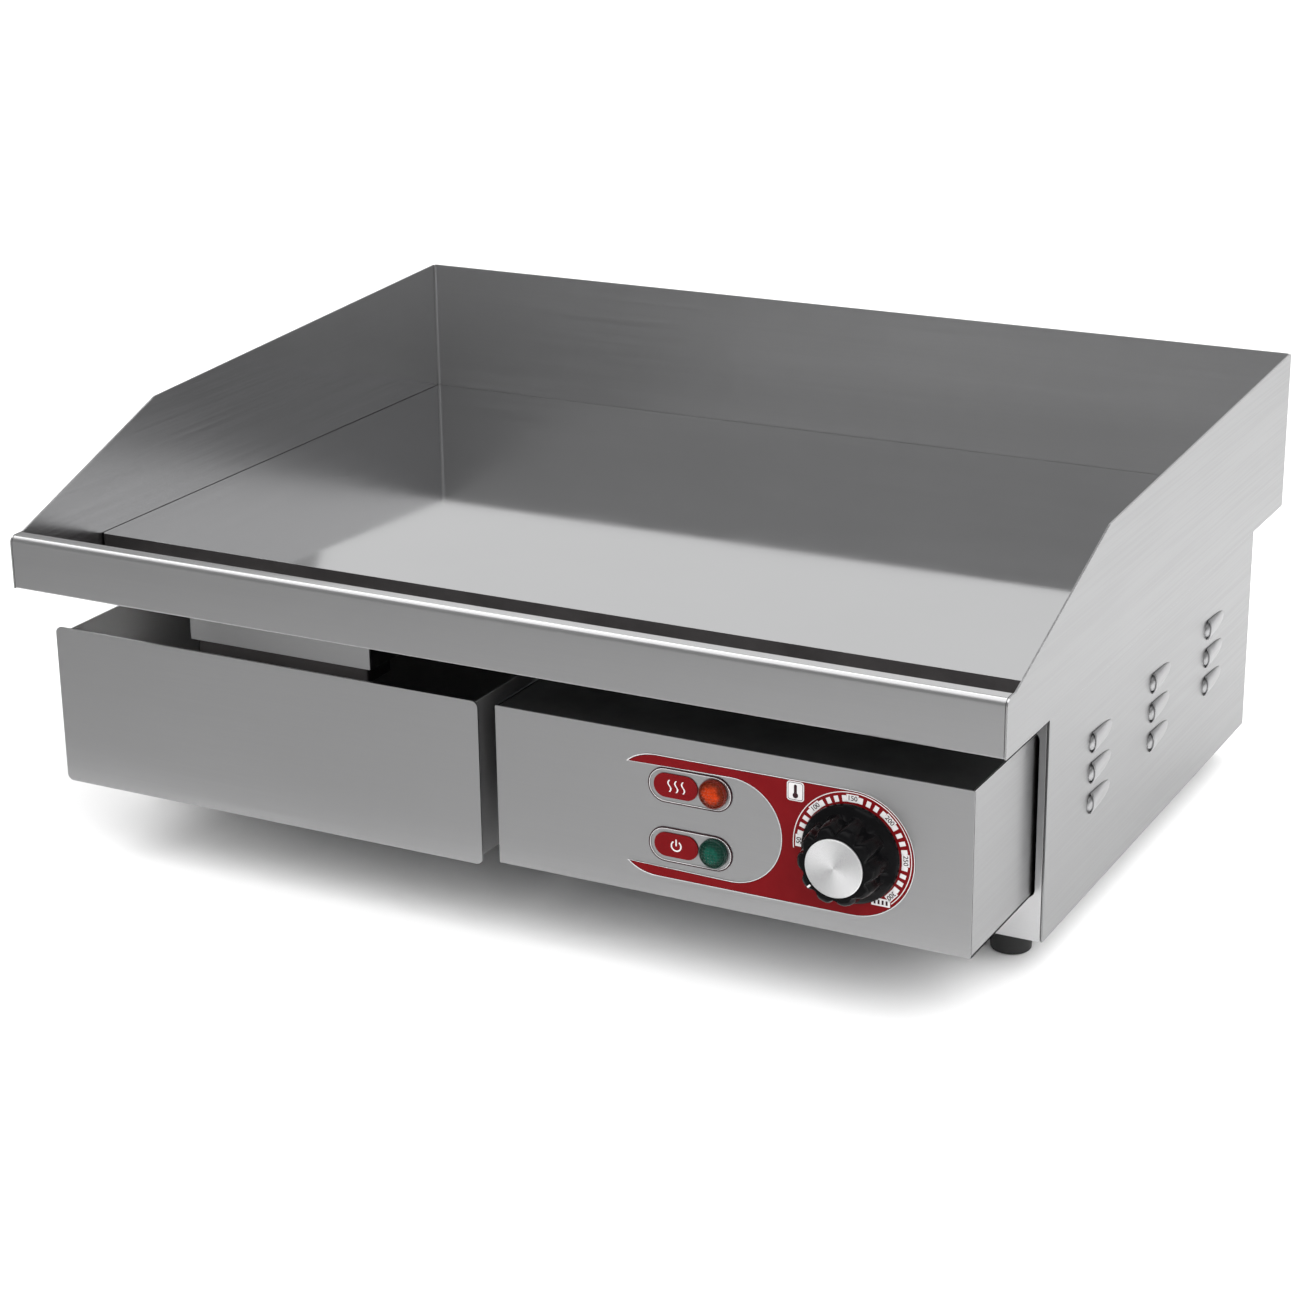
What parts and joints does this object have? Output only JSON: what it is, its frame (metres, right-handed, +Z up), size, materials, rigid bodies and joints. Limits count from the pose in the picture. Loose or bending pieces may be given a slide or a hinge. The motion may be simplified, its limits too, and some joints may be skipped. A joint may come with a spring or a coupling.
{
  "type": "flat top griddle",
  "caption": "Countertop electric flat top griddle: steel plate inside splash guards, front grease trough, sliding grease drawer, louvred case and a control box with a dial and two lamps.",
  "frame": {"origin": "centre of the footprint, on the surface that the feet stand on", "axes": "+X to the right seen from the front, +Y towards the back, +Z up; the controls face -Y"},
  "size_m": [0.55, 0.4357, 0.2345],
  "materials": {
    "brushed_steel": "brushed stainless sheet, grain along the sheet",
    "plate_steel": "thick steel cooking plate, polished almost to a mirror",
    "inner_steel": "plain mill-finish stainless sheet inside the case and drawer",
    "element_steel": "heat-darkened sheathed tubular element",
    "zinc_steel": "zinc-plated steel fixings and brackets",
    "copper": "bare copper capillary and bulb",
    "aluminium": "spun aluminium disc with fine concentric turning",
    "black_paint": "black painted steel lid",
    "black_plastic": "semi-gloss black moulded plastic",
    "rubber": "matt black rubber",
    "red_print": "printed red overlay with silver keyline",
    "amber_lens": "clear amber faceted lens",
    "green_lens": "clear green faceted lens",
    "white_plastic": "off-white nylon terminal block",
    "ceramic_fibre": "ceramic fibre mat",
    "sleeve_beige": "silicone-rubber insulated wire",
    "sleeve_brown": "brown insulated wire",
    "sleeve_blue": "blue insulated wire"
  },
  "bodies": {
    "griddle_base": {"front_rail": "brushed_steel", "splash_guard_left": "brushed_steel", "splash_guard_right": "brushed_steel", "splash_guard_back": "brushed_steel", "case_side_left": "brushed_steel", "case_side_right": "brushed_steel", "case_front": "brushed_steel", "case_back": "brushed_steel", "control_box_shell": "brushed_steel", "griddle_plate": "plate_steel", "grease_chute": "inner_steel", "chute_spout": "inner_steel", "heat_shield": "inner_steel", "case_bottom": "inner_steel", "case_divider": "inner_steel", "heating_element_left": "element_steel", "heating_element_right": "element_steel", "element_clamp_bar_1": "zinc_steel", "element_clamp_bar_2": "zinc_steel", "clamp_nut_1": "zinc_steel", "clamp_nut_2": "zinc_steel", "clamp_nut_3": "zinc_steel", "clamp_nut_4": "zinc_steel", "support_angle_front": "zinc_steel", "support_angle_back": "zinc_steel", "foot_screw_front_left": "zinc_steel", "foot_screw_front_right": "zinc_steel", "foot_screw_back_left": "zinc_steel", "foot_screw_back_right": "zinc_steel", "earth_stud": "zinc_steel", "thermostat_body": "zinc_steel", "drawer_runner_left": "zinc_steel", "drawer_runner_right": "zinc_steel", "capillary_tube": "copper", "capillary_bulb": "copper", "control_box_lid": "black_paint", "heat_lamp_body": "black_plastic", "power_lamp_body": "black_plastic", "cable_gland": "black_plastic", "gland_locknut": "black_plastic", "foot_front_left": "rubber", "foot_front_right": "rubber", "foot_back_left": "rubber", "foot_back_right": "rubber", "control_overlay": "red_print", "heat_lamp_lens": "amber_lens", "power_lamp_lens": "green_lens", "terminal_block": "white_plastic", "insulation_mat": "ceramic_fibre", "wire_switched": "sleeve_beige", "wire_element_link": "sleeve_beige", "wire_live": "sleeve_brown", "wire_neutral": "sleeve_blue"},
    "grease_drawer": {"drawer_front": "brushed_steel", "drawer_tray": "inner_steel"},
    "thermostat_knob": {"knob_body": "black_plastic", "knob_cap": "aluminium", "thermostat_shaft": "zinc_steel"}
  },
  "joints": [
    {"name": "drawer_slide", "type": "slide", "parent": "griddle_base", "child": "grease_drawer", "axis": [0, -1, 0], "range_m": [0, 0.25]},
    {"name": "knob_turn", "type": "hinge", "parent": "griddle_base", "child": "thermostat_knob", "pos_m": [0.198, -0.20515, 0.0855], "axis": [0, 1, 0], "range_deg": [0, 264]}
  ]
}
